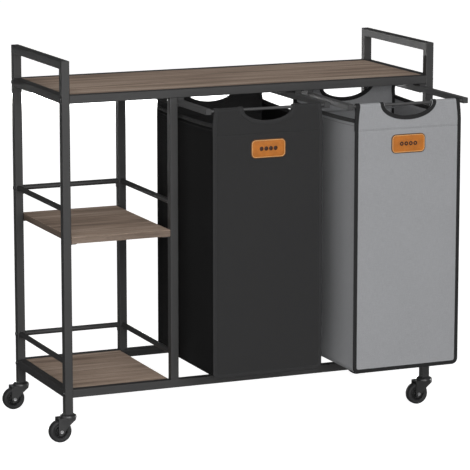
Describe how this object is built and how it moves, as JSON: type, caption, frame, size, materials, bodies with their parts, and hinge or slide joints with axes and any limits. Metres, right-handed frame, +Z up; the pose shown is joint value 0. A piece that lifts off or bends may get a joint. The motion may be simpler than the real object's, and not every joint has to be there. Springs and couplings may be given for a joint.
{
  "type": "laundry sorter cart",
  "caption": "Rolling laundry cart with a square-tube frame, wood top and shelves, round guard bars, and tall fabric bags that slide out on runners under the top.",
  "frame": {"origin": "bottom centre of the object's box on the floor, with the bags drawn out as far as they stand at rest", "axes": "+X along the cart from the shelf bay to the bags, +Y to the rear, +Z up"},
  "size_m": [0.971, 0.5752, 0.87],
  "materials": {
    "frame": "matt powder coat, dark grey",
    "track": "matt powder coat, dark grey",
    "runner": "satin powder coat, grey",
    "rod": "satin powder coat, grey",
    "wood": "grey-brown grain, matt foil",
    "bag_dark": "woven polyester, charcoal",
    "bag_light": "woven polyester, light grey",
    "label": "tan imitation leather, embossed edge",
    "wheel": "grey rubber tread on a plastic hub",
    "fork": "dark grey pressed steel",
    "axle": "zinc plated rivet",
    "bolt": "black oxide",
    "plug": "moulded black plastic"
  },
  "bodies": {
    "cart": {"bottom_front_rail": "frame", "bottom_rear_rail": "frame", "bottom_shelf": "wood", "bottom_shelf_tabs": "frame", "caster_sockets": "plug", "dark_left_track": "track", "dark_right_track": "track", "frame_bolts": "bolt", "left_bottom_rail": "frame", "left_front_post": "frame", "left_guard_lower": "frame", "left_guard_upper": "frame", "left_handle": "frame", "left_rear_post": "frame", "left_top_rail": "frame", "light_left_track": "track", "light_right_track": "track", "middle_front_post": "frame", "middle_guard_lower": "frame", "middle_guard_upper": "frame", "middle_rear_post": "frame", "middle_shelf": "wood", "middle_shelf_tabs": "frame", "rear_guard_lower": "frame", "rear_guard_upper": "frame", "right_bottom_rail": "frame", "right_front_post": "frame", "right_handle": "frame", "right_rear_post": "frame", "right_top_rail": "frame", "top_board": "wood", "top_board_tabs": "frame", "top_front_rail": "frame", "top_rear_rail": "frame"},
    "dark_drawer": {"dark_left_runner": "runner", "dark_right_runner": "runner", "dark_runner_caps": "plug", "dark_front_rod": "rod", "dark_rear_rod": "rod", "dark_bag": "bag_dark", "dark_label": "label"},
    "light_drawer": {"light_left_runner": "runner", "light_right_runner": "runner", "light_runner_caps": "plug", "light_front_rod": "rod", "light_rear_rod": "rod", "light_bag": "bag_light", "light_label": "label"},
    "left_front_swivel": {"left_front_fork": "fork", "left_front_axle": "axle"},
    "left_front_roller": {"left_front_wheel": "wheel"},
    "left_rear_swivel": {"left_rear_fork": "fork", "left_rear_axle": "axle"},
    "left_rear_roller": {"left_rear_wheel": "wheel"},
    "right_front_swivel": {"right_front_fork": "fork", "right_front_axle": "axle"},
    "right_front_roller": {"right_front_wheel": "wheel"},
    "right_rear_swivel": {"right_rear_fork": "fork", "right_rear_axle": "axle"},
    "right_rear_roller": {"right_rear_wheel": "wheel"}
  },
  "joints": [
    {"name": "dark_drawer_slide", "type": "slide", "parent": "cart", "child": "dark_drawer", "axis": [0, -1, 0], "range_m": [-0.158, 0.082]},
    {"name": "light_drawer_slide", "type": "slide", "parent": "cart", "child": "light_drawer", "axis": [0, -1, 0], "range_m": [-0.214, 0.026]},
    {"name": "left_front_swivel_turn", "type": "hinge", "parent": "cart", "child": "left_front_swivel", "pos_m": [-0.4395, -0.06235, 0.066], "axis": [0, 0, 1], "continuous": true},
    {"name": "left_front_wheel_spin", "type": "hinge", "parent": "left_front_swivel", "child": "left_front_roller", "pos_m": [-0.4595, -0.06235, 0.026], "axis": [0, 1, 0], "continuous": true},
    {"name": "left_rear_swivel_turn", "type": "hinge", "parent": "cart", "child": "left_rear_swivel", "pos_m": [-0.4395, 0.26865, 0.066], "axis": [0, 0, 1], "continuous": true},
    {"name": "left_rear_wheel_spin", "type": "hinge", "parent": "left_rear_swivel", "child": "left_rear_roller", "pos_m": [-0.4595, 0.26865, 0.026], "axis": [0, 1, 0], "continuous": true},
    {"name": "right_front_swivel_turn", "type": "hinge", "parent": "cart", "child": "right_front_swivel", "pos_m": [0.4665, -0.06235, 0.066], "axis": [0, 0, 1], "continuous": true},
    {"name": "right_front_wheel_spin", "type": "hinge", "parent": "right_front_swivel", "child": "right_front_roller", "pos_m": [0.4465, -0.06235, 0.026], "axis": [0, 1, 0], "continuous": true},
    {"name": "right_rear_swivel_turn", "type": "hinge", "parent": "cart", "child": "right_rear_swivel", "pos_m": [0.4665, 0.26865, 0.066], "axis": [0, 0, 1], "continuous": true},
    {"name": "right_rear_wheel_spin", "type": "hinge", "parent": "right_rear_swivel", "child": "right_rear_roller", "pos_m": [0.4465, 0.26865, 0.026], "axis": [0, 1, 0], "continuous": true}
  ]
}
